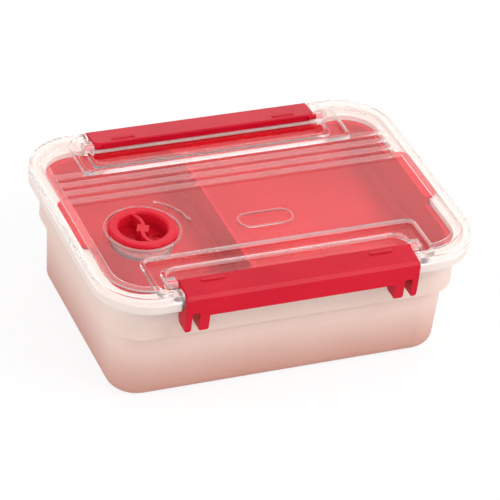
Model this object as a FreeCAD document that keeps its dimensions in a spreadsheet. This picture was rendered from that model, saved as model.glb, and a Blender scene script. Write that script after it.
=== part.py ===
import FreeCAD, Part
import math
import os
import Sketcher

# A rectangular lunch box: milky base with a stepped collar, clear lid with two hinged clips,
# a turning vent knob in the lid and a removable divided tray. Millimetres, Z up, the base
# stands on Z = 0 and the box is centred on the Z axis with its long side along X.

doc = FreeCAD.newDocument("lunch_box")
sheet = doc.addObject("Spreadsheet::Sheet", "Sheet")

SIZES = {
    # outline of the lid rim, which the other outlines are set in from
    "lid_length": 210.0,
    "lid_width": 155.0,
    "lid_corner": 29.5,
    # heights of the lid faces, and its walls
    "skirt_bottom": 68.3,
    "flange_top": 73.0,
    "plateau_top": 73.8,
    "panel_top": 73.2,
    "lid_underside": 71.5,
    "lid_wall": 1.6,
    "lid_edge_round": 1.5,
    "plateau_inset": 6.0,
    "plateau_bevel": 0.5,
    "border_width": 4.2,
    # crowned ribs across the lid behind the panel
    "rib_width": 4.6,
    "rib_pitch": 7.7,
    "rib_back": 38.4,
    # stepped notch that leads down to each clip, measured in from the long edge
    "notch_depth": 34.9,
    "notch_side": 10.5,
    "notch_corner": 4.0,
    "notch_bevel": 0.7,
    "shelf_top": 70.8,
    "recess_depth": 27.3,
    "recess_side": 2.0,
    "recess_corner": 7.0,
    "recess_floor": 68.4,
    "bay_depth": 13.5,
    "seat_top": 69.4,
    # hinge of the clips, in blocks on the lid
    "hinge_inset": 13.1,
    "hinge_height": 71.8,
    "pin_radius": 1.4,
    "pin_clearance": 0.05,
    "pin_length": 4.6,
    "pin_root": 4.0,
    "ear_length": 5.4,
    "ear_half": 3.0,
    "ear_end_wall": 0.6,
    # clips
    "clip_end": 40.5,
    "clip_side_gap": 0.5,
    "clip_stand": 2.4,
    "clip_behind_hinge": 0.5,
    "clip_inner_bottom": 69.9,
    "clip_wall": 1.9,
    "clip_seat_gap": 0.35,
    "clip_top_front": 72.4,
    "clip_chamfer": 2.0,
    "clip_bar_bottom": 60.0,
    "clip_edge_bevel": 0.6,
    "clip_corner": 4.0,
    "foot_width": 13.2,
    "foot_bottom": 50.8,
    "foot_belly": 5.0,
    "foot_lean": 0.7,
    "foot_corner": 1.3,
    "hook_radius": 14.4,
    "slot_offset": 3.6,
    "slot_width": 4.0,
    "slot_top": 62.1,
    "bead_end": 11.5,
    "bead_length": 13.0,
    "bead_width": 2.2,
    "bead_height": 0.4,
    "bead_inset": 2.6,
    # catch beads on the base that the feet of the clips snap over
    "catch_height": 59.7,
    "catch_thickness": 1.6,
    "catch_reach": 1.1,
    "catch_play": 0.4,
    "rim_bay_gap": 1.5,
    # vent well in the lid and the knob that turns in it
    "vent_end": 38.8,
    "vent_front": 59.8,
    "well_radius": 15.0,
    "well_wall": 1.5,
    "well_floor": 65.6,
    "well_floor_wall": 1.3,
    "vent_hole_radius": 2.1,
    "vent_hole_reach": 8.5,
    "ring_radius": 19.2,
    "ring_width": 1.3,
    "ring_height": 0.8,
    "knob_radius": 18.2,
    "knob_cup_radius": 12.9,
    "knob_wall": 1.6,
    "knob_top": 75.6,
    "knob_gap": 0.25,
    "knob_floor": 1.4,
    "knob_edge": 0.9,
    "axle_radius": 2.5,
    "axle_clearance": 0.05,
    "axle_head_radius": 3.3,
    "axle_head_height": 1.2,
    "axle_head_bevel": 0.7,
    "grip_bend": 12.0,
    "grip_offset": 10.4,
    "grip_rise": 5.9,
    "grip_width": 1.9,
    "grip_drop": 1.2,
    "hub_reach": 4.4,
    # moulded arrow beside the knob and plain oval on the panel
    "arrow_radius": 26.8,
    "arrow_width": 1.3,
    "mark_height": 0.5,
    "mark_root": 0.2,
    "arrow_head": 3.6,
    "oval_front": 54.1,
    "oval_half_length": 15.5,
    "oval_half_width": 6.6,
    "oval_line": 1.1,
    # base container
    "rim_inset": 0.4,
    "rim_wall": 1.6,
    "rim_top": 68.2,
    "rim_bottom": 63.2,
    "rim_bevel": 0.6,
    "upstand_inset": 2.2,
    "upstand_width": 2.0,
    "upstand_height": 2.2,
    "upstand_gap": 1.6,
    "collar_inset": 9.2,
    "end_reach": 2.0,
    "collar_corner": 20.0,
    "base_wall": 1.8,
    "base_draft": 2.75,
    "step_height": 39.9,
    "step_bevel": 1.1,
    "foot_inset": 14.8,
    "foot_outline_corner": 16.0,
    "bottom_wall": 1.8,
    "bottom_round": 6.0,
    "inner_bevel": 4.0,
    # divided tray
    "tray_gap": 0.1,
    "tray_inset": 12.9,
    "tray_draft": 2.2,
    "tray_rim_inset": 11.4,
    "tray_rim_top": 65.4,
    "tray_rim_height": 1.4,
    "tray_wall": 1.6,
    "tray_floor_wall": 1.6,
    "tray_corner": 16.3,
    "tray_inner_bevel": 3.4,
    "divider_end": 88.0,
    "divider_wall": 1.7,
    "divider_drop": 1.1,
    "lug_half": 22.0,
    "lug_inset": 4.6,
    "lug_bottom": 68.4,
    "lug_thickness": 1.4,
    "lug_corner": 4.5,
    # small overlap that lets added solids join and cuts run clear
    "merge": 0.3,
}
ARROW_START = 58.0
ARROW_END = 10.0
GRIP_START = -29.0
GRIP_END = 37.0
HUB_TURN = 20.0
RIB_COUNT = 4

for row, (word, number) in enumerate(SIZES.items(), start=1):
    sheet.set("A%d" % row, word)
    sheet.set("B%d" % row, str(number))
    sheet.setAlias("B%d" % row, word)
doc.recompute()


class Size:
    """A length that carries its number and its spreadsheet formula together."""

    def __init__(self, number, formula):
        self.number = number
        self.formula = formula

    def joined(self, sign, other, number):
        return Size(number, "(%s %s %s)" % (self.formula, sign, other.formula))

    def __add__(self, other):
        other = as_size(other)
        return self.joined("+", other, self.number + other.number)

    def __sub__(self, other):
        other = as_size(other)
        return self.joined("-", other, self.number - other.number)

    def __mul__(self, other):
        other = as_size(other)
        return self.joined("*", other, self.number * other.number)

    def __truediv__(self, other):
        other = as_size(other)
        return self.joined("/", other, self.number / other.number)

    def __neg__(self):
        return Size(-self.number, "(0 - %s)" % self.formula)

    def root(self):
        return Size(math.sqrt(self.number), "sqrt(%s)" % self.formula)


def as_size(value):
    if isinstance(value, Size):
        return value
    return Size(float(value), repr(float(value)))


def of(word):
    return Size(float(sheet.get(word)), "Sheet.%s" % word)


def run_of_draft(height, draft):
    """How far a drafted wall moves sideways over a height."""
    tangent = math.tan(math.radians(of(draft).number))
    return Size(height.number * tangent, "(%s * tan(Sheet.%s * 1 deg))" % (height.formula, draft))


def ray(angle):
    """Unit steps along X and Y at an angle in degrees."""
    turn = math.radians(angle)
    along_x = Size(math.cos(turn), "cos(%.3f deg)" % angle)
    along_y = Size(math.sin(turn), "sin(%.3f deg)" % angle)
    return along_x, along_y


def new_body(name):
    body = doc.addObject("PartDesign::Body", name + "_body")
    body.Label = name
    return body


def new_sketch(body, name, plane, lift=None):
    """Empty sketch on one of the body's own planes, lifted along that plane's normal."""
    sketch = body.newObject("Sketcher::SketchObject", name)
    for feature in body.Origin.OriginFeatures:
        if feature.Role == plane:
            sketch.AttachmentSupport = [(feature, "")]
    sketch.MapMode = "FlatFace"
    if lift is not None:
        sketch.setExpression("AttachmentOffset.Base.z", lift.formula)
    return sketch


def constrain(sketch, size, *parts):
    index = sketch.addConstraint(Sketcher.Constraint(*parts, abs(size.number)))
    word = "size_%d" % index
    sketch.renameConstraint(index, word)
    formula = size.formula
    if size.number < 0:
        formula = "(0 - %s)" % formula
    sketch.setExpression("Constraints.%s" % word, formula)


def place_point(sketch, geometry, point, x, y):
    """Binds a point's distance from the sketch origin along X, along Y or both."""
    for axis, size in (("DistanceX", x), ("DistanceY", y)):
        if size is None:
            continue
        if size.number > 0:
            constrain(sketch, size, axis, -1, 1, geometry, point)
        else:
            constrain(sketch, size, axis, geometry, point, -1, 1)


def add_line(sketch, start, end):
    first = FreeCAD.Vector(start[0], start[1], 0)
    last = FreeCAD.Vector(end[0], end[1], 0)
    return sketch.addGeometry(Part.LineSegment(first, last), False)


def add_path(sketch, points, arcs=None):
    """Closed outline through the points. A side listed in arcs is round about the centre given
    there, and its far point then takes only the coordinate that the arc leaves open."""
    arcs = arcs or {}
    points = [(as_size(x), as_size(y)) for x, y in points]
    count = len(points)
    sides = []
    for index in range(count):
        start = [size.number for size in points[index]]
        end = [size.number for size in points[(index + 1) % count]]
        if index not in arcs:
            sides.append((add_line(sketch, start, end), 1, 2))
            continue
        centre = [as_size(size) for size in arcs[index][:2]]
        x, y = centre[0].number, centre[1].number
        first = math.atan2(start[1] - y, start[0] - x)
        last = math.atan2(end[1] - y, end[0] - x)
        radius = math.hypot(start[0] - x, start[1] - y)
        circle = Part.Circle(FreeCAD.Vector(x, y, 0), FreeCAD.Vector(0, 0, 1), radius)
        against_clock = (last - first) % (2 * math.pi) < math.pi
        if against_clock:
            arc = sketch.addGeometry(Part.ArcOfCircle(circle, first, last), False)
            sides.append((arc, 1, 2))
        else:
            arc = sketch.addGeometry(Part.ArcOfCircle(circle, last, first), False)
            sides.append((arc, 2, 1))
        place_point(sketch, arc, 3, centre[0], centre[1])
    for index, (side, start, end) in enumerate(sides):
        after, after_start, after_end = sides[(index + 1) % count]
        sketch.addConstraint(Sketcher.Constraint("Coincident", side, end, after, after_start))
    for index, (side, start, end) in enumerate(sides):
        x, y = points[index]
        before = (index - 1) % count
        if before in arcs and arcs[before][2] == "x":
            y = None
        elif before in arcs:
            x = None
        place_point(sketch, side, start, x, y)


def add_block(sketch, left, right, bottom, top):
    add_path(sketch, [(left, bottom), (right, bottom), (right, top), (left, top)])


def add_rounded(sketch, left, right, bottom, top, corner):
    """Rectangle with four equal round corners, sides placed from the sketch origin."""
    left, right, bottom, top, corner = [as_size(v) for v in (left, right, bottom, top, corner)]
    west, east, south, north = left.number, right.number, bottom.number, top.number
    radius = corner.number
    lines = [
        add_line(sketch, (west + radius, south), (east - radius, south)),
        add_line(sketch, (east, south + radius), (east, north - radius)),
        add_line(sketch, (east - radius, north), (west + radius, north)),
        add_line(sketch, (west, north - radius), (west, south + radius)),
    ]
    centres = [
        (east - radius, south + radius),
        (east - radius, north - radius),
        (west + radius, north - radius),
        (west + radius, south + radius),
    ]
    arcs = []
    quarter = math.pi / 2
    for turn, (x, y) in enumerate(centres, start=-1):
        circle = Part.Circle(FreeCAD.Vector(x, y, 0), FreeCAD.Vector(0, 0, 1), radius)
        arc = Part.ArcOfCircle(circle, turn * quarter, (turn + 1) * quarter)
        arcs.append(sketch.addGeometry(arc, False))
    for index in range(4):
        following = lines[(index + 1) % 4]
        sketch.addConstraint(Sketcher.Constraint("Tangent", lines[index], 2, arcs[index], 1))
        sketch.addConstraint(Sketcher.Constraint("Tangent", arcs[index], 2, following, 1))
    for arc in arcs[1:]:
        sketch.addConstraint(Sketcher.Constraint("Equal", arcs[0], arc))
    for index, direction in enumerate(("Horizontal", "Vertical", "Horizontal", "Vertical")):
        sketch.addConstraint(Sketcher.Constraint(direction, lines[index]))
    constrain(sketch, corner, "Radius", arcs[0])
    place_point(sketch, lines[0], 1, None, bottom)
    place_point(sketch, lines[1], 1, right, None)
    place_point(sketch, lines[2], 1, None, top)
    place_point(sketch, lines[3], 1, left, None)


def add_inset_outline(sketch, inset, corner, reach=None):
    """Outline of the box, drawn a given distance inside the edge of the lid. The base and the tray
    come nearer to the edge at their two ends, by the reach."""
    across = half_length - inset
    if reach is not None:
        across = across + reach
    along = half_width - inset
    add_rounded(sketch, -across, across, -along, along, corner)


def add_circle(sketch, x, y, radius):
    """Circle about a point. An axis given as None keeps the centre on that axis of the sketch."""
    centre = FreeCAD.Vector(0, 0, 0)
    if x is not None:
        centre.x = x.number
    if y is not None:
        centre.y = y.number
    circle = Part.Circle(centre, FreeCAD.Vector(0, 0, 1), radius.number)
    index = sketch.addGeometry(circle, False)
    constrain(sketch, radius, "Radius", index)
    place_point(sketch, index, 3, x, y)
    if x is None:
        sketch.addConstraint(Sketcher.Constraint("PointOnObject", index, 3, -2))
    if y is None:
        sketch.addConstraint(Sketcher.Constraint("PointOnObject", index, 3, -1))


def solid(body, kind, name, sketch, length, draft=None, backwards=False):
    feature = body.newObject("PartDesign::" + kind, name)
    feature.Profile = sketch
    feature.setExpression("Length", length.formula)
    if draft is not None:
        feature.setExpression("TaperAngle", draft)
    feature.Reversed = backwards
    sketch.Visibility = False
    body.Tip = feature
    doc.recompute()
    return feature


def grow(body, name, sketch, length, draft=None):
    return solid(body, "Pad", name, sketch, length, draft)


def cut_down(body, name, sketch, length, draft=None):
    return solid(body, "Pocket", name, sketch, length, draft)


def cut_up(body, name, sketch, length):
    return solid(body, "Pocket", name, sketch, length, None, True)


def dress_edges(body, kind, name, chosen, size):
    """Rounds or bevels every edge of the body so far whose middle point and box are chosen."""
    before = body.Tip
    names = []
    for index, edge in enumerate(before.Shape.Edges, start=1):
        middle = edge.valueAt((edge.FirstParameter + edge.LastParameter) / 2)
        if chosen(edge.BoundBox, middle):
            names.append("Edge%d" % index)
    feature = body.newObject("PartDesign::" + kind, name)
    feature.Base = (before, names)
    measure = "Radius" if kind == "Fillet" else "Size"
    feature.setExpression(measure, size.formula)
    body.Tip = feature
    doc.recompute()
    return feature


def level(box, height):
    near = 0.01
    return abs(box.ZMin - height.number) < near and abs(box.ZMax - height.number) < near


def on_outline(middle, inset, corner, reach):
    """True if a point seen from above lies on the box outline drawn at that inset."""
    near = 0.05
    across = half_length.number - inset.number + reach.number
    along = half_width.number - inset.number
    radius = corner.number
    past_x = abs(middle.x) - (across - radius)
    past_y = abs(middle.y) - (along - radius)
    if past_x > 0 and past_y > 0:
        return abs(math.hypot(past_x, past_y) - radius) < near
    return abs(abs(middle.x) - across) < near or abs(abs(middle.y) - along) < near


half_length = of("lid_length") / 2
half_width = of("lid_width") / 2
hinge_y = half_width - of("hinge_inset")
clip_half = half_length - of("clip_end")
bay_half = clip_half + of("clip_side_gap")
block_half = bay_half + of("ear_length")
collar_y = half_width - of("collar_inset")
ledge = of("step_height") + of("base_wall")
vent_x = of("vent_end") - half_length
vent_y = of("vent_front") - half_width


def build_base():
    """Milky container: drafted lower part, wider collar, rolled rim with a locating upstand."""
    body = new_body("base_container")
    draft = "Sheet.base_draft"
    reach = of("end_reach")
    outline = new_sketch(body, "foot_outline", "XY_Plane")
    add_inset_outline(outline, of("foot_inset"), of("foot_outline_corner"), reach)
    grow(body, "lower_walls", outline, of("step_height"), draft)
    outline = new_sketch(body, "collar_outline", "XY_Plane", of("step_height"))
    add_inset_outline(outline, of("collar_inset"), of("collar_corner"), reach)
    grow(body, "collar", outline, of("rim_top") - of("step_height"))

    rim_corner = of("lid_corner") - of("rim_inset")
    rim_height = of("rim_top") - of("rim_bottom")
    outline = new_sketch(body, "rim_outline", "XY_Plane", of("rim_bottom"))
    add_inset_outline(outline, of("rim_inset"), rim_corner)
    grow(body, "rim", outline, rim_height)
    channel = new_sketch(body, "rim_channel_outline", "XY_Plane", of("rim_bottom"))
    add_inset_outline(channel, of("rim_inset") + of("rim_wall"), rim_corner - of("rim_wall"))
    add_inset_outline(channel, of("collar_inset"), of("collar_corner"), reach)
    cut_up(body, "rim_channel", channel, rim_height - of("rim_wall"))

    upstand = new_sketch(body, "upstand_outline", "XY_Plane", of("rim_top"))
    inner_inset = of("upstand_inset") + of("upstand_width")
    add_inset_outline(upstand, of("upstand_inset"), of("lid_corner") - of("upstand_inset"))
    add_inset_outline(upstand, inner_inset, of("lid_corner") - inner_inset)
    grow(body, "upstand", upstand, of("upstand_height"))
    stop = block_half + of("upstand_gap")
    breaks = new_sketch(body, "upstand_breaks", "XY_Plane", of("rim_top"))
    for side in (1, -1):
        near = (half_width - inner_inset - of("merge")) * side
        add_block(breaks, -stop, stop, near, half_width * side)
    cut_up(body, "upstand_break", breaks, of("upstand_height") + of("merge"))

    cavity = new_sketch(body, "collar_cavity_outline", "XY_Plane", of("rim_top"))
    wall = of("base_wall")
    add_inset_outline(cavity, of("collar_inset") + wall, of("collar_corner") - wall, reach)
    cut_down(body, "collar_cavity", cavity, of("rim_top") - ledge)
    spread = run_of_draft(ledge, "base_draft")
    mouth = new_sketch(body, "ledge_outline", "XY_Plane", ledge)
    mouth_corner = of("foot_outline_corner") + spread - wall
    add_inset_outline(mouth, of("foot_inset") - spread + wall, mouth_corner, reach)
    cut_down(body, "lower_cavity", mouth, ledge - of("bottom_wall"), "0 - " + draft)

    # behind each clip the rim stands back, and the feet snap over beads on the collar there
    rim_face = collar_y + of("catch_reach")
    side_cut = clip_half + of("rim_bay_gap")
    bays = new_sketch(body, "rim_bay_outline", "XY_Plane", of("rim_bottom"))
    for side in (1, -1):
        add_block(bays, -side_cut, side_cut, rim_face * side, (half_width + 1) * side)
    cut_up(body, "rim_bays", bays, rim_height)
    root = collar_y - of("merge")
    slope = of("catch_reach") / 2
    half_thick = of("catch_thickness") / 2
    middle = of("catch_height")
    foot_start = clip_half - of("foot_width")
    for name, start in (("left", -clip_half), ("right", foot_start)):
        bead = new_sketch(body, "catch_section_" + name, "YZ_Plane", start)
        for side in (1, -1):
            add_path(bead, [
                (root * side, middle - half_thick - slope),
                (rim_face * side, middle - half_thick),
                (rim_face * side, middle + half_thick),
                (root * side, middle + half_thick + slope),
            ])
        grow(body, "catch_beads_" + name, bead, of("foot_width"))

    dress_edges(body, "Fillet", "bottom_edge", lambda box, at: level(box, as_size(0)),
                of("bottom_round"))
    dress_edges(body, "Chamfer", "floor_edge", lambda box, at: level(box, of("bottom_wall")),
                of("inner_bevel"))

    def collar_edge(box, at):
        outer = on_outline(at, of("collar_inset"), of("collar_corner"), reach)
        return outer and level(box, of("step_height"))

    dress_edges(body, "Chamfer", "collar_lower_edge", collar_edge, of("step_bevel"))

    def rim_edge(box, at):
        outer = on_outline(at, of("rim_inset"), rim_corner, as_size(0))
        return outer and level(box, of("rim_top"))

    dress_edges(body, "Chamfer", "rim_edge", rim_edge, of("rim_bevel"))
    return body


def build_tray():
    """Red tray that stands on the ledge of the base, with one divider and a lug at each end."""
    body = new_body("divided_tray")
    reach = of("end_reach")
    bottom = ledge + of("tray_gap")
    rim_bottom = of("tray_rim_top") - of("tray_rim_height")
    outline = new_sketch(body, "tray_outline", "XY_Plane", bottom)
    add_inset_outline(outline, of("tray_inset"), of("tray_corner"), reach)
    grow(body, "tray_walls", outline, of("tray_rim_top") - bottom, "Sheet.tray_draft")
    rim = new_sketch(body, "tray_rim_outline", "XY_Plane", rim_bottom)
    rim_step = of("tray_inset") - of("tray_rim_inset")
    add_inset_outline(rim, of("tray_rim_inset"), of("tray_corner") + rim_step, reach)
    grow(body, "tray_rim", rim, of("tray_rim_height"))

    lug_top = of("lug_bottom") + of("lug_thickness")
    tower_outer = half_length - of("tray_rim_inset") + reach
    inner_x = half_length - of("tray_inset") - of("tray_wall") + reach
    inner_y = half_width - of("tray_inset") - of("tray_wall")
    lug_end = half_length - of("lug_inset")
    half = of("lug_half")
    tower = new_sketch(body, "lug_tower_outline", "XY_Plane", rim_bottom)
    lug = new_sketch(body, "lug_outline", "XY_Plane", of("lug_bottom"))
    for side in (1, -1):
        add_block(tower, inner_x * side, tower_outer * side, -half, half)
        add_block(lug, (inner_x + of("merge")) * side, lug_end * side, -half, half)
    grow(body, "lug_towers", tower, lug_top - rim_bottom)
    grow(body, "lugs", lug, of("lug_thickness"))

    def lug_corner(box, at):
        upright = box.ZLength > of("lug_thickness").number / 2 and box.DiagonalLength < box.ZLength + 0.01
        return upright and abs(abs(at.x) - lug_end.number) < 0.01

    dress_edges(body, "Fillet", "lug_corners", lug_corner, of("lug_corner"))

    floor = bottom + of("tray_floor_wall")
    divider = of("divider_end") - half_length
    thick = of("divider_wall") / 2
    corner = of("tray_corner") - of("tray_wall")
    cups = new_sketch(body, "compartment_outlines", "XY_Plane", lug_top)
    add_rounded(cups, -inner_x, divider - thick, -inner_y, inner_y, corner)
    add_rounded(cups, divider + thick, inner_x, -inner_y, inner_y, corner)
    cut_down(body, "compartments", cups, lug_top - floor)
    notch = new_sketch(body, "divider_notch", "XY_Plane", of("tray_rim_top"))
    deep = inner_y - corner
    add_block(notch, divider - thick - of("merge"), divider + thick + of("merge"), -deep, deep)
    cut_down(body, "divider_top", notch, of("divider_drop"))
    dress_edges(body, "Chamfer", "compartment_floor", lambda box, at: level(box, floor),
                of("tray_inner_bevel"))
    return body


def build_lid():
    """Clear lid: flat rim flange, slightly raised plateau, ribs, clip bays and vent well."""
    body = new_body("lid_shell")
    merge = of("merge")
    wall = of("lid_wall")
    outline = new_sketch(body, "lid_outline", "XY_Plane", of("skirt_bottom"))
    add_inset_outline(outline, as_size(0), of("lid_corner"))
    grow(body, "lid_slab", outline, of("flange_top") - of("skirt_bottom"))
    dress_edges(body, "Fillet", "lid_edge", lambda box, at: level(box, of("flange_top")),
                of("lid_edge_round"))
    plateau = new_sketch(body, "plateau_outline", "XY_Plane", of("lid_underside"))
    add_inset_outline(plateau, of("plateau_inset"), of("lid_corner") - of("plateau_inset"))
    grow(body, "plateau", plateau, of("plateau_top") - of("lid_underside"))
    dress_edges(body, "Chamfer", "plateau_edge", lambda box, at: level(box, of("plateau_top")),
                of("plateau_bevel"))
    hollow = new_sketch(body, "lid_hollow_outline", "XY_Plane", of("skirt_bottom"))
    add_inset_outline(hollow, wall, of("lid_corner") - wall)
    cut_up(body, "lid_hollow", hollow, of("lid_underside") - of("skirt_bottom"))
    panel_inset = of("plateau_inset") + of("border_width")
    panel = new_sketch(body, "panel_outline", "XY_Plane", of("plateau_top"))
    add_inset_outline(panel, panel_inset, of("lid_corner") - panel_inset)
    cut_down(body, "panel", panel, of("plateau_top") - of("panel_top"))

    # each rib is a low crown: an arc from side to side, standing on a sunk root
    reach = half_length - panel_inset + merge
    crown = of("plateau_top") - of("panel_top")
    half_rib = of("rib_width") / 2
    crown_radius = (half_rib * half_rib + crown * crown) / (crown * 2)
    ribs = new_sketch(body, "rib_sections", "YZ_Plane", -reach)
    for count in range(RIB_COUNT):
        middle = half_width - of("rib_back") - of("rib_pitch") * count
        root = of("panel_top") - merge
        centre_z = of("plateau_top") - crown_radius
        add_path(ribs, [
            (middle - half_rib, root),
            (middle + half_rib, root),
            (middle + half_rib, of("panel_top")),
            (middle - half_rib, of("panel_top")),
        ], {2: (middle, centre_z, "x")})
    grow(body, "ribs", ribs, reach * 2)

    def both_sides(sketch, half, near, far, corner):
        add_rounded(sketch, -half, half, near, far, corner)
        add_rounded(sketch, -half, half, -far, -near, corner)

    # tubs that carry the stepped notches, first solid and then hollowed from above
    rail = half_width - of("plateau_inset")
    notch_half = bay_half + of("notch_side")
    notch_y = half_width - of("notch_depth")
    recess_half = bay_half + of("recess_side")
    recess_y = half_width - of("recess_depth")
    bay_y = half_width - of("bay_depth")
    seat_depth = of("seat_top") - of("skirt_bottom")
    tub = new_sketch(body, "shelf_tub", "XY_Plane", of("shelf_top") - wall)
    both_sides(tub, notch_half + wall, notch_y - wall, rail + seat_depth, of("notch_corner"))
    grow(body, "shelf_tubs", tub, of("lid_underside") - of("shelf_top") + wall + merge)
    tub = new_sketch(body, "recess_tub", "XY_Plane", of("recess_floor") - wall)
    both_sides(tub, recess_half + wall, recess_y - wall, bay_y + wall, of("notch_corner"))
    grow(body, "recess_tubs", tub, of("shelf_top") - of("recess_floor") + merge)
    block = new_sketch(body, "seat_block", "XY_Plane", of("skirt_bottom"))
    for side in (1, -1):
        add_block(block, -block_half, block_half, bay_y * side, (half_width - wall / 2) * side)
    grow(body, "seat_blocks", block, of("lid_underside") - of("skirt_bottom") + merge)

    notch = new_sketch(body, "notch_outline", "XY_Plane", of("plateau_top"))
    both_sides(notch, notch_half, notch_y, rail, of("notch_corner"))
    cut_down(body, "notches", notch, of("plateau_top") - of("shelf_top"))
    recess = new_sketch(body, "recess_outline", "XY_Plane", of("shelf_top"))
    corner_y = recess_y + of("recess_corner")
    corner_x = recess_half - of("recess_corner")
    for side in (1, -1):
        add_path(recess, [
            (corner_x, recess_y * side),
            (recess_half, corner_y * side),
            (recess_half, bay_y * side),
            (-recess_half, bay_y * side),
            (-recess_half, corner_y * side),
            (-corner_x, recess_y * side),
        ], {0: (corner_x, corner_y * side, "y"), 4: (-corner_x, corner_y * side, "x")})
    cut_down(body, "recesses", recess, of("shelf_top") - of("recess_floor"))
    bay = new_sketch(body, "bay_outline", "XY_Plane", of("plateau_top"))
    for side in (1, -1):
        add_block(bay, -bay_half, bay_half, (bay_y - merge) * side, (half_width + merge) * side)
    cut_down(body, "bays", bay, of("plateau_top") - of("seat_top"))

    ears = new_sketch(body, "ear_outlines", "XY_Plane", of("skirt_bottom"))
    for side_x in (1, -1):
        for side_y in (1, -1):
            low = (hinge_y - of("ear_half")) * side_y
            high = (hinge_y + of("ear_half")) * side_y
            add_block(ears, bay_half * side_x, block_half * side_x, low, high)
    grow(body, "ears", ears, of("plateau_top") - of("skirt_bottom"))
    socket_end = block_half - of("ear_end_wall")
    sockets = new_sketch(body, "socket_outlines", "YZ_Plane", -socket_end)
    for side in (1, -1):
        radius = of("pin_radius") + of("pin_clearance")
        add_circle(sockets, hinge_y * side, of("hinge_height"), radius)
    cut_up(body, "sockets", sockets, socket_end * 2)

    def notch_rim(box, at):
        inside = abs(at.x) < notch_half.number + 0.01 and abs(at.y) > notch_y.number - 0.01
        return level(box, of("panel_top")) and inside and abs(at.y) < half_width.number - panel_inset.number

    def recess_rim(box, at):
        inside = abs(at.x) < recess_half.number + 0.01 and abs(at.y) > recess_y.number - 0.01
        return level(box, of("shelf_top")) and inside and abs(at.y) < hinge_y.number - of("ear_half").number

    dress_edges(body, "Chamfer", "notch_edges", notch_rim, of("notch_bevel"))
    dress_edges(body, "Chamfer", "recess_edges", recess_rim, of("notch_bevel"))

    # vent well with its floor holes, and the ring that stands round the knob
    well_bottom = of("well_floor") - of("well_floor_wall")
    well = new_sketch(body, "well_outline", "XY_Plane", well_bottom)
    add_circle(well, vent_x, vent_y, of("well_radius") + of("well_wall"))
    grow(body, "well", well, of("lid_underside") - well_bottom + merge)
    mark_base = of("panel_top") - of("mark_root")
    ring = new_sketch(body, "ring_outline", "XY_Plane", mark_base)
    add_circle(ring, vent_x, vent_y, of("ring_radius") + of("ring_width"))
    add_circle(ring, vent_x, vent_y, of("ring_radius"))
    grow(body, "vent_ring", ring, of("ring_height") + of("mark_root"))
    bore = new_sketch(body, "well_bore", "XY_Plane", of("plateau_top"))
    add_circle(bore, vent_x, vent_y, of("well_radius"))
    cut_down(body, "well_hollow", bore, of("plateau_top") - of("well_floor"))
    holes = new_sketch(body, "well_holes", "XY_Plane", of("well_floor"))
    add_circle(holes, vent_x, vent_y, of("axle_radius") + of("axle_clearance"))
    for side in (1, -1):
        add_circle(holes, vent_x, vent_y + of("vent_hole_reach") * side, of("vent_hole_radius"))
    cut_down(body, "well_drillings", holes, of("well_floor_wall"))

    # curved arrow that shows which way the knob opens, and a plain oval ring on the panel
    arrow = new_sketch(body, "arrow_outline", "XY_Plane", mark_base)
    inner = of("arrow_radius") - of("arrow_width") / 2
    outer = of("arrow_radius") + of("arrow_width") / 2
    corners = []
    for radius, angle in ((outer, ARROW_END), (outer, ARROW_START),
                          (inner, ARROW_START), (inner, ARROW_END)):
        along_x, along_y = ray(angle)
        corners.append((vent_x + radius * along_x, vent_y + radius * along_y))
    add_path(arrow, corners, {0: (vent_x, vent_y, "x"), 2: (vent_x, vent_y, "x")})
    head = of("arrow_head")
    along_x, along_y = ray(ARROW_END)
    foot_x = vent_x + of("arrow_radius") * along_x
    foot_y = vent_y + of("arrow_radius") * along_y
    add_path(arrow, [
        (foot_x - head / 2, foot_y - of("mark_root")),
        (foot_x + head / 6, foot_y - head),
        (foot_x + head / 2, foot_y - of("mark_root")),
    ])
    grow(body, "arrow", arrow, of("mark_height") + of("mark_root"))
    oval = new_sketch(body, "oval_outline", "XY_Plane", mark_base)
    oval_y = of("oval_front") - half_width
    for inset in (as_size(0), of("oval_line")):
        wide = of("oval_half_length") - inset
        high = of("oval_half_width") - inset
        add_rounded(oval, -wide, wide, oval_y - high, oval_y + high, high - of("mark_root"))
    grow(body, "oval", oval, of("mark_height") + of("mark_root"))
    return body


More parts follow.
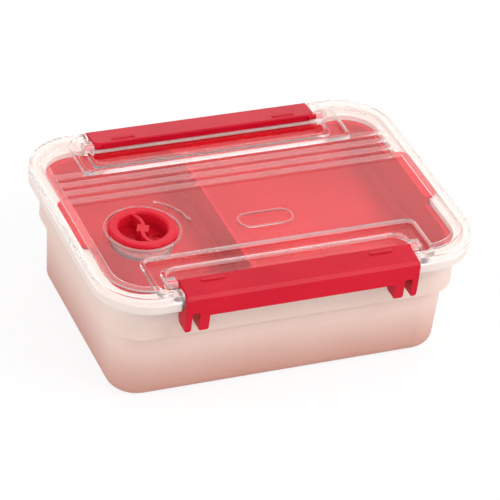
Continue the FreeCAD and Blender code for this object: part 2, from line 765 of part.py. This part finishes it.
def build_clip(name, turn):
    """Clip that swings on stub pins at its ends and snaps two forked feet over beads."""
    body = new_body(name)
    front = -(half_width + of("clip_stand"))
    inner = -(hinge_y - of("clip_behind_hinge"))
    wall = of("clip_wall")
    bevel = of("clip_chamfer")
    top = of("plateau_top")
    low_top = of("clip_top_front")
    under = of("seat_top") + of("clip_seat_gap")
    bar_bottom = of("clip_bar_bottom")
    back = front + wall
    bar = new_sketch(body, "bar_section", "YZ_Plane", -clip_half)
    add_path(bar, [
        (inner, of("clip_inner_bottom")),
        (inner, top),
        (front + bevel, low_top),
        (front, low_top - bevel),
        (front, bar_bottom),
        (back, bar_bottom),
        (back, under),
        (inner - wall, top - wall),
        (inner - wall, of("clip_inner_bottom")),
    ])
    grow(body, "bar", bar, clip_half * 2)
    for side, start in (("left", -clip_half), ("right", clip_half - wall)):
        end = new_sketch(body, "end_section_" + side, "YZ_Plane", start)
        add_path(end, [
            (inner, of("clip_inner_bottom")),
            (inner, top),
            (front + bevel, low_top),
            (front, low_top - bevel),
            (front, under),
            (inner - wall, of("clip_inner_bottom")),
        ])
        grow(body, "end_wall_" + side, end, wall)

    def inner_corner(box, at):
        upright = box.ZLength > 1 and box.DiagonalLength < box.ZLength + 0.01
        at_end = abs(abs(at.x) - clip_half.number) < 0.01
        return upright and at_end and abs(at.y - inner.number) < 0.01

    dress_edges(body, "Fillet", "inner_corners", inner_corner, of("clip_corner"))

    def top_edge(box, at):
        crest = low_top.number - 0.01
        return box.ZMin > crest and not (box.XLength > 1 and at.y < front.number + bevel.number + 0.01)

    dress_edges(body, "Chamfer", "top_edges", top_edge, of("clip_edge_bevel"))

    # feet: the upper face follows a circle round the hinge, the lower back corner is a round belly
    swing = of("hook_radius")
    tip = -(collar_y + of("catch_reach") + of("catch_play"))

    def on_swing(y):
        reach = y + hinge_y
        return of("hinge_height") - (swing * swing - reach * reach).root()

    belly = of("foot_belly")
    inside = back - of("merge")
    belly_y = tip - belly
    belly_z = of("foot_bottom") + belly
    outline = [
        (front, on_swing(inside)),
        (front, bar_bottom),
        (front + of("foot_lean"), of("foot_bottom")),
        (belly_y, of("foot_bottom")),
        (tip, belly_z),
        (tip, on_swing(tip)),
        (inside, on_swing(inside)),
    ]
    arcs = {3: (belly_y, belly_z, "y"), 5: (-hinge_y, of("hinge_height"), "x")}
    for side, start in (("left", -clip_half), ("right", clip_half - of("foot_width"))):
        foot = new_sketch(body, "foot_section_" + side, "YZ_Plane", start)
        add_path(foot, outline, arcs)
        grow(body, "foot_" + side, foot, of("foot_width"))

    # each foot is forked by a slot, and the prongs have round corners seen from the front
    slot_outer = clip_half - of("slot_offset")
    slot_inner = slot_outer - of("slot_width")
    foot_inner = clip_half - of("foot_width")
    depth = -front + inner + of("merge")
    low = of("foot_bottom") - of("merge")
    slots = new_sketch(body, "slot_outlines", "XZ_Plane", -inner)
    for side in (1, -1):
        add_block(slots, slot_inner * side, slot_outer * side, low, of("slot_top"))
    cut_up(body, "slots", slots, depth)
    corners = new_sketch(body, "prong_corners", "XZ_Plane", -inner)
    turn_in = of("foot_corner")
    for side in (1, -1):
        for edge, way in ((foot_inner, 1), (slot_inner, -1), (slot_outer, 1), (clip_half, -1)):
            at = edge * side
            step = side * way
            add_path(corners, [
                (at - of("merge") * step, low),
                (at + turn_in * step, low),
                (at + turn_in * step, of("foot_bottom")),
                (at, of("foot_bottom") + turn_in),
                (at - of("merge") * step, of("foot_bottom") + turn_in),
            ], {2: (at + turn_in * step, of("foot_bottom") + turn_in, "y")})
    cut_up(body, "prong_rounds", corners, depth)

    for side, start in (("left", -(clip_half + of("pin_length"))), ("right", clip_half - of("pin_root"))):
        pin = new_sketch(body, "pin_outline_" + side, "YZ_Plane", start)
        add_circle(pin, -hinge_y, of("hinge_height"), of("pin_radius"))
        grow(body, "pin_" + side, pin, of("pin_length") + of("pin_root"))

    beads = new_sketch(body, "bead_outlines", "XY_Plane", top - wall)
    high = inner - of("bead_inset")
    bead_outer = clip_half - of("bead_end")
    for side in (1, -1):
        ends = sorted([(bead_outer - of("bead_length")) * side, bead_outer * side],
                      key=lambda size: size.number)
        add_rounded(beads, ends[0], ends[1], high - of("bead_width"), high,
                    of("bead_width") / 2 - of("mark_root"))
    grow(body, "beads", beads, wall + of("bead_height") - of("merge"))
    body.Placement.Rotation.Axis = FreeCAD.Vector(0, 0, 1)
    body.setExpression("Placement.Rotation.Angle", "%.1f deg" % turn)
    doc.recompute()
    return body


def build_knob():
    """Vent knob: rimmed cup on an axle that snaps through the floor of the well."""
    body = new_body("vent_knob")
    cup = of("knob_cup_radius")
    outer = cup + of("knob_wall")
    rim = of("knob_radius")
    edge = of("knob_edge")
    top = of("knob_top")
    rim_bottom = of("panel_top") + of("knob_gap")
    base = of("well_floor") + of("knob_gap")
    floor = base + of("knob_floor")
    head = of("axle_head_radius")
    head_top = of("well_floor") - of("well_floor_wall") - of("knob_gap")
    head_bottom = head_top - of("axle_head_height")
    head_bevel = of("axle_head_bevel")
    axle = of("axle_radius")
    profile = [
        (head - head_bevel, head_bottom),
        (head, head_bottom + head_bevel),
        (head, head_top),
        (axle, head_top),
        (axle, base),
        (outer, base),
        (outer, rim_bottom),
        (rim, rim_bottom),
        (rim, top - edge),
        (rim - edge, top),
        (cup + edge, top),
        (cup, top - edge),
        (cup, floor),
    ]
    section = new_sketch(body, "knob_section", "XZ_Plane")
    points = [(0.0, head_bottom.number)]
    points += [(x.number, z.number) for x, z in profile]
    points += [(0.0, floor.number)]
    count = len(points)
    lines = [add_line(section, points[i], points[(i + 1) % count]) for i in range(count)]
    for index, line in enumerate(lines):
        following = lines[(index + 1) % count]
        section.addConstraint(Sketcher.Constraint("Coincident", line, 2, following, 1))
    for line, (x, z) in zip(lines[1:-1], profile):
        place_point(section, line, 1, x, z)
    for line, z in ((lines[0], head_bottom), (lines[-1], floor)):
        section.addConstraint(Sketcher.Constraint("PointOnObject", line, 1, -2))
        place_point(section, line, 1, None, z)
    turned = body.newObject("PartDesign::Revolution", "knob_turned")
    turned.Profile = section
    turned.ReferenceAxis = (section, ["V_Axis"])
    turned.Angle = 360
    body.Tip = turned
    doc.recompute()

    holes = new_sketch(body, "knob_holes", "XY_Plane", floor)
    for side in (1, -1):
        add_circle(holes, of("vent_hole_reach") * side, None, of("vent_hole_radius"))
    cut_down(body, "knob_drillings", holes, of("knob_floor"))

    # grip: a thin S-shaped wall across the cup with a square hub in the middle
    grip_height = top - of("grip_drop") - floor
    thick = of("grip_width") / 2
    for name, side in (("rear", 1), ("front", -1)):
        grip = new_sketch(body, "grip_outline_" + name, "XY_Plane", floor)
        centre_x = -of("grip_offset") * side
        centre_y = of("grip_rise") * side
        corners = []
        for radius, angle in ((of("grip_bend") + thick, GRIP_START), (of("grip_bend") + thick, GRIP_END),
                              (of("grip_bend") - thick, GRIP_END), (of("grip_bend") - thick, GRIP_START)):
            along_x, along_y = ray(angle)
            corners.append((centre_x + radius * along_x * side, centre_y + radius * along_y * side))
        add_path(grip, corners, {0: (centre_x, centre_y, "y"), 2: (centre_x, centre_y, "y")})
        grow(body, "grip_" + name, grip, grip_height)
    hub = new_sketch(body, "hub_outline", "XY_Plane", floor)
    corners = []
    for quarter in range(4):
        along_x, along_y = ray(HUB_TURN + 90 * quarter)
        corners.append((of("hub_reach") * along_x, of("hub_reach") * along_y))
    add_path(hub, corners)
    grow(body, "hub", hub, grip_height)
    body.setExpression("Placement.Base.x", vent_x.formula)
    body.setExpression("Placement.Base.y", vent_y.formula)
    doc.recompute()
    return body


bodies = [
    build_base(),
    build_tray(),
    build_lid(),
    build_clip("front_clip", 0.0),
    build_clip("rear_clip", 180.0),
    build_knob(),
]
doc.recompute()

faults = []
for item in doc.Objects:
    if "Invalid" in item.State or "Error" in item.State:
        faults.append("%s %s" % (item.Name, item.getStatusString()))
for body in bodies:
    shape = body.Shape
    if shape.isNull() or not shape.isValid() or len(shape.Solids) != 1:
        faults.append("%s is not one good solid" % body.Label)
if faults:
    raise RuntimeError("; ".join(faults))

os.makedirs("parts", exist_ok=True)
for body in bodies:
    body.Shape.exportStep("parts/%s.step" % body.Label)
    print(body.Label, round(body.Shape.Volume, 1), body.Shape.BoundBox)
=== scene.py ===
import math

import bpy
from mathutils import Matrix, Vector

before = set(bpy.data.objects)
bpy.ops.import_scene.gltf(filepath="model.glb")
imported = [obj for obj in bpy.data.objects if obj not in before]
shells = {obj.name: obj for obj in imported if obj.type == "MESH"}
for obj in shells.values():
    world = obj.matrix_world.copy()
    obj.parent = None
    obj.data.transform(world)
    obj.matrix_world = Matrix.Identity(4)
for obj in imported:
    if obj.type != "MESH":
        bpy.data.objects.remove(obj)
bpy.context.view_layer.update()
bpy.ops.object.select_all(action="DESELECT")


# How the box is seen: from the front left corner of the long side, from a little above.
CAMERA_TURN = math.radians(-25.02)
CAMERA_HEIGHT = math.radians(34.58)
CAMERA_ROLL = math.radians(6.09)
CAMERA_DISTANCE = 1.6837
CAMERA_LENS = 223.2
SENSOR_WIDTH = 36.0
VIEW_DEPTH = 20.0
LOOK_AT = Vector((0.01281, 0.01879, 0.02198))

# Softboxes round the box: name, place, aim, width in metres, watts, tint.
PLAIN_WHITE = (1.0, 1.0, 1.0)
WARM_WHITE = (1.0, 0.99, 0.98)
SOFTBOXES = (
    ("key_softbox", (0.55, -0.9, 1.25), (0.0, 0.0, 0.06), 0.45, 6.5, WARM_WHITE),
    ("right_softbox", (1.4, -0.5, 0.7), (0.05, 0.0, 0.03), 0.9, 9.5, PLAIN_WHITE),
    ("front_softbox", (-0.7, -1.4, 0.8), (0.0, -0.05, 0.04), 1.0, 5.0, WARM_WHITE),
    ("left_softbox", (-1.5, 0.2, 0.6), (-0.05, 0.0, 0.03), 0.9, 7.5, WARM_WHITE),
    ("rear_softbox", (0.62, 1.35, 1.05), (0.0, 0.0, 0.05), 1.6, 8.0, PLAIN_WHITE),
)
BACKDROP_LEVEL = 1.0
FILL_LEVEL = 0.62

# Floor: the share that shows as plain white, and the rest that keeps the shadow.
FLOOR_WIDTH = 8.0
FLOOR_DROP = 0.0003
FLOOR_PAINT = (0.94, 0.94, 0.94)
FLOOR_WHITE_SHARE = 0.86

# Red plastics: dark and light of the flow marks, roughness, shine.
CLIP_RED = ((0.5, 0.002, 0.017), (0.57, 0.004, 0.023), 0.3, 0.13)
KNOB_RED = ((0.6, 0.008, 0.024), (0.68, 0.012, 0.032), 0.28, 0.13)
TRAY_RED = ((0.54, 0.006, 0.015), (0.6, 0.009, 0.02), 0.34, 0.05)
FLOW_SCALE = 28.0
RED_SATIN_SCALE = 2600.0
RED_GRAIN = (0.05, 0.00002)
EDGE_RADIUS = 0.0006
EDGE_SAMPLES = 4
PLASTIC_INDEX = 1.49

# Milky base: tones from the bottom up to the rim, darker and redder low down as painted shade, and
# the share of light that passes the wall.
RIM_HEIGHT = 0.0683
# Painted shade: the low stops are darker and redder than the milky plastic itself.
MILKY_TONES_AND_PAINTED_SHADE = (
    (0.06, (0.64, 0.3, 0.235)),
    (0.5, (0.87, 0.65, 0.58)),
    (0.8, (0.87, 0.7, 0.63)),
    (1.0, (0.85, 0.76, 0.72)),
)
CLOUD_SCALE = 22.0
CLOUD_SHARE = 0.12
MILKY_SATIN_SCALE = 1100.0
MILKY_GLOSS = (0.36, 0.5)
MILKY_GRAIN = (0.15, 0.00006)
MILKY_GLOW = 0.25

# Clear lid: heights between which the crests frost, and leans between which a face is a wall.
CREST_HEIGHTS = (0.0733, 0.0737)
CREST_FROST = 0.55
WALL_LEANS = (0.75, 0.97)
FROST_ROUGHNESS = 0.25
FROST_CLEARNESS = 0.8
CLEAR_GLOSS = (0.015, 0.05)
HAZE_SCALE = 60.0
RIPPLE_SCALE = 90.0
RIPPLE_GRAIN = (0.04, 0.0002)
CLEAR_TINT = (0.99, 0.95, 0.94)
CLEAR_INDEX = 1.25
CLEAR_SHADOW = (0.9, 0.88, 0.88)


def place_camera():
    back = Vector((
        math.sin(CAMERA_TURN) * math.cos(CAMERA_HEIGHT),
        -math.cos(CAMERA_TURN) * math.cos(CAMERA_HEIGHT),
        math.sin(CAMERA_HEIGHT),
    ))
    level_right = Vector((math.cos(CAMERA_TURN), math.sin(CAMERA_TURN), 0.0))
    level_up = back.cross(level_right)
    right = level_right * math.cos(CAMERA_ROLL) + level_up * math.sin(CAMERA_ROLL)
    up = level_up * math.cos(CAMERA_ROLL) - level_right * math.sin(CAMERA_ROLL)
    bpy.ops.object.camera_add()
    camera = bpy.context.object
    camera.name = "box_camera"
    camera.data.sensor_width = SENSOR_WIDTH
    camera.data.lens = CAMERA_LENS
    camera.data.clip_end = VIEW_DEPTH
    turn = Matrix((right, up, back)).transposed().to_4x4()
    camera.matrix_world = Matrix.Translation(LOOK_AT + back * CAMERA_DISTANCE) @ turn
    bpy.context.scene.camera = camera


def soft_lamp(name, place, aim, size, power, tint):
    """Square softbox that points from its place at the aim."""
    bpy.ops.object.light_add(type="AREA", location=place)
    lamp = bpy.context.object
    lamp.name = name
    lamp.data.shape = "SQUARE"
    lamp.data.size = size
    lamp.data.energy = power
    lamp.data.color = tint
    way = Vector(aim) - Vector(place)
    lamp.rotation_euler = way.to_track_quat("-Z", "Y").to_euler()


def new_finish(name):
    finish = bpy.data.materials.new(name)
    finish.use_nodes = True
    finish.node_tree.nodes.clear()
    return finish, finish.node_tree.nodes, finish.node_tree.links


def fine_noise(nodes, links, place, scale, detail):
    noise = nodes.new("ShaderNodeTexNoise")
    noise.inputs["Scale"].default_value = scale
    noise.inputs["Detail"].default_value = detail
    noise.inputs["Roughness"].default_value = 0.5
    links.new(place.outputs["Object"], noise.inputs["Vector"])
    return noise


def spread(nodes, links, source, low, high, start=0.3, stop=0.7):
    """Maps a grey pattern onto a range of plain numbers."""
    ramp = nodes.new("ShaderNodeMapRange")
    ramp.inputs["From Min"].default_value = start
    ramp.inputs["From Max"].default_value = stop
    ramp.inputs["To Min"].default_value = low
    ramp.inputs["To Max"].default_value = high
    links.new(source, ramp.inputs["Value"])
    return ramp.outputs["Result"]


def tone(nodes, links, source, stops):
    """Maps a grey pattern onto a row of colours."""
    ramp = nodes.new("ShaderNodeValToRGB")
    points = ramp.color_ramp.elements
    while len(points) < len(stops):
        points.new(1.0)
    for point, (at, colour) in zip(points, stops):
        point.position = at
        point.color = (*colour, 1.0)
    links.new(source, ramp.inputs["Fac"])
    return ramp.outputs["Color"]


def grain(nodes, links, source, strength, depth, under=None):
    """Fine relief, laid over the normal given as under."""
    bump = nodes.new("ShaderNodeBump")
    bump.inputs["Strength"].default_value = strength
    bump.inputs["Distance"].default_value = depth
    links.new(source, bump.inputs["Height"])
    if under is not None:
        links.new(under, bump.inputs["Normal"])
    return bump.outputs["Normal"]


def red_moulding(name, dark, light, gloss, shine):
    """Opaque red plastic: faint flow marks in the colour, satin grain, softly rounded edges."""
    finish, nodes, links = new_finish(name)
    place = nodes.new("ShaderNodeTexCoord")
    skin = nodes.new("ShaderNodeBsdfPrincipled")
    out = nodes.new("ShaderNodeOutputMaterial")
    flow = fine_noise(nodes, links, place, FLOW_SCALE, 3.0)
    links.new(tone(nodes, links, flow.outputs["Fac"], [(0.3, dark), (0.7, light)]),
              skin.inputs["Base Color"])
    satin = fine_noise(nodes, links, place, RED_SATIN_SCALE, 2.0)
    links.new(spread(nodes, links, satin.outputs["Fac"], gloss - 0.04, gloss + 0.05),
              skin.inputs["Roughness"])
    soft_edge = nodes.new("ShaderNodeBevel")
    soft_edge.samples = EDGE_SAMPLES
    soft_edge.inputs["Radius"].default_value = EDGE_RADIUS
    links.new(grain(nodes, links, satin.outputs["Fac"], *RED_GRAIN, soft_edge.outputs["Normal"]),
              skin.inputs["Normal"])
    skin.inputs["IOR"].default_value = PLASTIC_INDEX
    skin.inputs["Specular IOR Level"].default_value = shine
    links.new(skin.outputs["BSDF"], out.inputs["Surface"])
    return finish


def milky_wall():
    """Milky translucent plastic of the base, with painted shade that makes it darker and redder
    towards the bottom.
    """
    finish, nodes, links = new_finish("milky_wall")
    place = nodes.new("ShaderNodeTexCoord")
    skin = nodes.new("ShaderNodeBsdfPrincipled")
    glow = nodes.new("ShaderNodeBsdfTranslucent")
    mix = nodes.new("ShaderNodeMixShader")
    out = nodes.new("ShaderNodeOutputMaterial")
    split = nodes.new("ShaderNodeSeparateXYZ")
    links.new(place.outputs["Object"], split.inputs["Vector"])
    height = spread(nodes, links, split.outputs["Z"], 0.0, 1.0, 0.0, RIM_HEIGHT)
    cloud = fine_noise(nodes, links, place, CLOUD_SCALE, 4.0)
    drift = nodes.new("ShaderNodeMath")
    drift.operation = "MULTIPLY_ADD"
    links.new(cloud.outputs["Fac"], drift.inputs[0])
    drift.inputs[1].default_value = CLOUD_SHARE
    links.new(height, drift.inputs[2])
    # Painted shade: the wall's colour darkens and reddens towards the bottom.
    colour = tone(nodes, links, drift.outputs["Value"], MILKY_TONES_AND_PAINTED_SHADE)
    links.new(colour, skin.inputs["Base Color"])
    links.new(colour, glow.inputs["Color"])
    satin = fine_noise(nodes, links, place, MILKY_SATIN_SCALE, 2.0)
    links.new(spread(nodes, links, satin.outputs["Fac"], *MILKY_GLOSS), skin.inputs["Roughness"])
    links.new(grain(nodes, links, satin.outputs["Fac"], *MILKY_GRAIN), skin.inputs["Normal"])
    skin.inputs["IOR"].default_value = PLASTIC_INDEX
    mix.inputs["Fac"].default_value = MILKY_GLOW
    links.new(skin.outputs["BSDF"], mix.inputs[1])
    links.new(glow.outputs["BSDF"], mix.inputs[2])
    links.new(mix.outputs["Shader"], out.inputs["Surface"])
    return finish


def lid_frost(nodes, links, place):
    """How frosted a point of the lid is: its crests a little, its steep walls and bevels fully."""
    height = nodes.new("ShaderNodeSeparateXYZ")
    links.new(place.outputs["Object"], height.inputs["Vector"])
    crest = spread(nodes, links, height.outputs["Z"], 0.0, CREST_FROST, *CREST_HEIGHTS)
    facing = nodes.new("ShaderNodeNewGeometry")
    lean = nodes.new("ShaderNodeSeparateXYZ")
    links.new(facing.outputs["True Normal"], lean.inputs["Vector"])
    upright = nodes.new("ShaderNodeMath")
    upright.operation = "ABSOLUTE"
    links.new(lean.outputs["Z"], upright.inputs[0])
    wall = spread(nodes, links, upright.outputs["Value"], 1.0, 0.0, *WALL_LEANS)
    frost = nodes.new("ShaderNodeMath")
    frost.operation = "MAXIMUM"
    links.new(crest, frost.inputs[0])
    links.new(wall, frost.inputs[1])
    return frost.outputs["Value"]


def clear_cover():
    """Clear plastic of the lid, frosted on its crests, walls and bevels."""
    finish, nodes, links = new_finish("clear_cover")
    place = nodes.new("ShaderNodeTexCoord")
    skin = nodes.new("ShaderNodeBsdfPrincipled")
    open_air = nodes.new("ShaderNodeBsdfTransparent")
    path = nodes.new("ShaderNodeLightPath")
    mix = nodes.new("ShaderNodeMixShader")
    out = nodes.new("ShaderNodeOutputMaterial")
    frost = lid_frost(nodes, links, place)
    haze = fine_noise(nodes, links, place, HAZE_SCALE, 3.0)
    rough = nodes.new("ShaderNodeMath")
    rough.operation = "MULTIPLY_ADD"
    links.new(frost, rough.inputs[0])
    rough.inputs[1].default_value = FROST_ROUGHNESS
    links.new(spread(nodes, links, haze.outputs["Fac"], *CLEAR_GLOSS), rough.inputs[2])
    links.new(rough.outputs["Value"], skin.inputs["Roughness"])
    links.new(spread(nodes, links, frost, 1.0, FROST_CLEARNESS, 0.0, 1.0),
              skin.inputs["Transmission Weight"])
    ripple = fine_noise(nodes, links, place, RIPPLE_SCALE, 1.0)
    links.new(grain(nodes, links, ripple.outputs["Fac"], *RIPPLE_GRAIN), skin.inputs["Normal"])
    skin.inputs["Base Color"].default_value = (*CLEAR_TINT, 1.0)
    skin.inputs["IOR"].default_value = CLEAR_INDEX
    open_air.inputs["Color"].default_value = (*CLEAR_SHADOW, 1.0)
    links.new(path.outputs["Is Shadow Ray"], mix.inputs["Fac"])
    links.new(skin.outputs["BSDF"], mix.inputs[1])
    links.new(open_air.outputs["BSDF"], mix.inputs[2])
    links.new(mix.outputs["Shader"], out.inputs["Surface"])
    return finish


def seen_directly(nodes, links):
    """1 for what the camera, a reflection or clear plastic shows, 0 for light on the object."""
    path = nodes.new("ShaderNodeLightPath")
    sums = path.outputs["Is Camera Ray"]
    for name in ("Is Glossy Ray", "Is Transmission Ray"):
        add = nodes.new("ShaderNodeMath")
        add.operation = "MAXIMUM"
        links.new(sums, add.inputs[0])
        links.new(path.outputs[name], add.inputs[1])
        sums = add.outputs["Value"]
    return sums


def lay_floor():
    bpy.ops.mesh.primitive_plane_add(size=FLOOR_WIDTH, location=(0.0, 0.0, -FLOOR_DROP))
    floor = bpy.context.object
    floor.name = "studio_floor"
    finish, nodes, links = new_finish("white_floor")
    paint = nodes.new("ShaderNodeBsdfDiffuse")
    shine = nodes.new("ShaderNodeEmission")
    weigh = nodes.new("ShaderNodeMath")
    mix = nodes.new("ShaderNodeMixShader")
    out = nodes.new("ShaderNodeOutputMaterial")
    paint.inputs["Color"].default_value = (*FLOOR_PAINT, 1.0)
    shine.inputs["Strength"].default_value = BACKDROP_LEVEL
    weigh.operation = "MULTIPLY"
    links.new(seen_directly(nodes, links), weigh.inputs[0])
    weigh.inputs[1].default_value = FLOOR_WHITE_SHARE
    links.new(weigh.outputs["Value"], mix.inputs["Fac"])
    links.new(paint.outputs["BSDF"], mix.inputs[1])
    links.new(shine.outputs["Emission"], mix.inputs[2])
    links.new(mix.outputs["Shader"], out.inputs["Surface"])
    floor.data.materials.append(finish)


def light_studio():
    world = bpy.data.worlds.new("studio")
    bpy.context.scene.world = world
    world.use_nodes = True
    nodes, links = world.node_tree.nodes, world.node_tree.links
    nodes.clear()
    seen = nodes.new("ShaderNodeBackground")
    fill = nodes.new("ShaderNodeBackground")
    mix = nodes.new("ShaderNodeMixShader")
    out = nodes.new("ShaderNodeOutputWorld")
    seen.inputs["Color"].default_value = (*PLAIN_WHITE, 1.0)
    seen.inputs["Strength"].default_value = BACKDROP_LEVEL
    fill.inputs["Color"].default_value = (*WARM_WHITE, 1.0)
    fill.inputs["Strength"].default_value = FILL_LEVEL
    links.new(seen_directly(nodes, links), mix.inputs["Fac"])
    links.new(fill.outputs["Background"], mix.inputs[1])
    links.new(seen.outputs["Background"], mix.inputs[2])
    links.new(mix.outputs["Shader"], out.inputs["Surface"])
    for softbox in SOFTBOXES:
        soft_lamp(*softbox)


def dress(node, finish):
    shell = shells[node]
    shell.data.materials.clear()
    shell.data.materials.append(finish)


bpy.context.scene.view_settings.view_transform = "Standard"
place_camera()
light_studio()
lay_floor()
clip_finish = red_moulding("clip_red", *CLIP_RED)
dress("front_clip", clip_finish)
dress("rear_clip", clip_finish)
dress("vent_knob", red_moulding("knob_red", *KNOB_RED))
dress("divided_tray", red_moulding("tray_red", *TRAY_RED))
dress("base_container", milky_wall())
dress("lid_shell", clear_cover())
